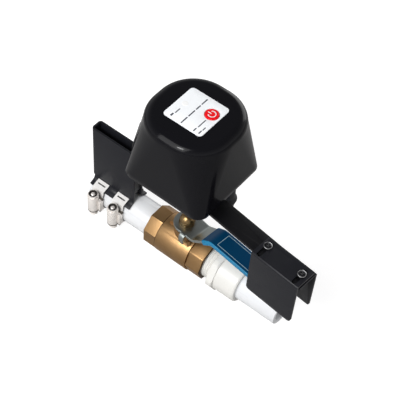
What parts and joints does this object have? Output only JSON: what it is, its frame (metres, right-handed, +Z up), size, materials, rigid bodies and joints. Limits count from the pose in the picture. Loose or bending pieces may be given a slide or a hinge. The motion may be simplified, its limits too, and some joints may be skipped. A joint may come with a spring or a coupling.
{
  "type": "smart water valve actuator",
  "caption": "Motor drive clamped over a lever ball valve on a plastic pipe; a slotted fork on its arm swings the lever a quarter turn.",
  "frame": {"origin": "centre of the outlet pipe's end face, on the pipe's axis", "axes": "+X along the pipe out of the outlet, +Z up the valve's stem to the drive, +Y to the back"},
  "size_m": [0.197, 0.0688, 0.1595],
  "materials": {
    "gloss_black": "gloss moulded cover",
    "satin_black": "satin powder coat on folded steel",
    "black_nylon": "fine matt moulding",
    "brass": "forged and tumbled",
    "zinc": "zinc plated, dull",
    "nickel": "bright stainless",
    "steel": "machined",
    "white_pvc": "smooth extruded",
    "ivory_pvc": "smooth moulded",
    "blue_vinyl": "dipped soft vinyl",
    "label_film": "printed film, plain",
    "red_button": "gloss moulded",
    "ptfe": "turned seal",
    "chrome_ball": "polished plate",
    "board_green": "solder mask",
    "nylon_gear": "moulded gear"
  },
  "bodies": {
    "pipework": {"inlet_stub": "white_pvc", "valve_body": "brass", "valve_end": "brass", "ball_seats": "ptfe", "stem_packing": "ptfe", "gland_nut": "brass", "adaptor": "ivory_pvc", "outlet_stub": "white_pvc", "bracket": "satin_black", "clamp_bands": "nickel", "clamp_housings": "nickel", "lock_nut": "satin_black"},
    "outer_worm": {"clamp_screw_outer": "nickel"},
    "inner_worm": {"clamp_screw_inner": "nickel"},
    "height_lock": {"lock_screw": "nickel"},
    "drive": {"housing": "gloss_black", "base_plate": "black_nylon", "base_screws": "steel", "mount_tongue": "black_nylon", "tongue_screws": "steel", "output_bush": "brass", "gear_carrier": "steel", "gearmotor": "steel", "control_board": "board_green", "board_screws": "steel", "tact_switch": "black_nylon", "label": "label_film", "cable_gland": "black_nylon", "cable_gland_nut": "black_nylon"},
    "button": {"power_button": "red_button"},
    "arm": {"output_shaft": "steel", "output_gear": "nylon_gear", "arm_hub": "satin_black", "switch_arm": "satin_black", "arm_bolt": "steel", "fork_screws": "nickel", "fork_nuts": "nickel"},
    "near_jaw": {"front_jaw": "satin_black"},
    "far_jaw": {"rear_jaw": "satin_black"},
    "pinion": {"motor_pinion": "steel"},
    "handle": {"lever": "zinc", "lever_grip": "blue_vinyl", "lever_nut": "brass", "stem": "brass", "ball": "chrome_ball"}
  },
  "joints": [
    {"name": "height_slide", "type": "slide", "parent": "pipework", "child": "drive", "axis": [0, 0, 1], "range_m": [-0.004, 0.012]},
    {"name": "arm_turn", "type": "hinge", "parent": "drive", "child": "arm", "pos_m": [-0.08975, 0, 0.088], "axis": [0, 0, 1], "range_deg": [-83, 7]},
    {"name": "lever_turn", "type": "hinge", "parent": "pipework", "child": "handle", "pos_m": [-0.08975, 0, 0.022], "axis": [0, 0, 1], "range_deg": [-83, 7]},
    {"name": "pinion_spin", "type": "hinge", "parent": "drive", "child": "pinion", "pos_m": [-0.08975, 0.018, 0.096], "axis": [0, 0, 1], "range_deg": [-13, 151]},
    {"name": "near_jaw_slide", "type": "slide", "parent": "arm", "child": "near_jaw", "axis": [-0.0872, -0.9962, 0], "range_m": [0, 0.0024]},
    {"name": "far_jaw_slide", "type": "slide", "parent": "arm", "child": "far_jaw", "axis": [0.0872, 0.9962, 0], "range_m": [0, 0.0021]},
    {"name": "button_press", "type": "slide", "parent": "drive", "child": "button", "axis": [0, 0, -1], "range_m": [0, 0.0006], "stiffness_N_per_m": 2000},
    {"name": "outer_worm_turn", "type": "hinge", "parent": "pipework", "child": "outer_worm", "pos_m": [-0.1659, -0.01725, 0], "axis": [0, 0, 1], "continuous": true},
    {"name": "inner_worm_turn", "type": "hinge", "parent": "pipework", "child": "inner_worm", "pos_m": [-0.1464, -0.01725, 0], "axis": [0, 0, 1], "continuous": true},
    {"name": "lock_turn", "type": "hinge", "parent": "pipework", "child": "height_lock", "pos_m": [-0.157, 0.008, 0.036], "axis": [0, 1, 0], "range_deg": [0, 360]}
  ],
  "couplings": [
    {"joint": "lever_turn", "follows": "arm_turn", "ratio": 1},
    {"joint": "pinion_spin", "follows": "arm_turn", "ratio": -1.8125}
  ]
}
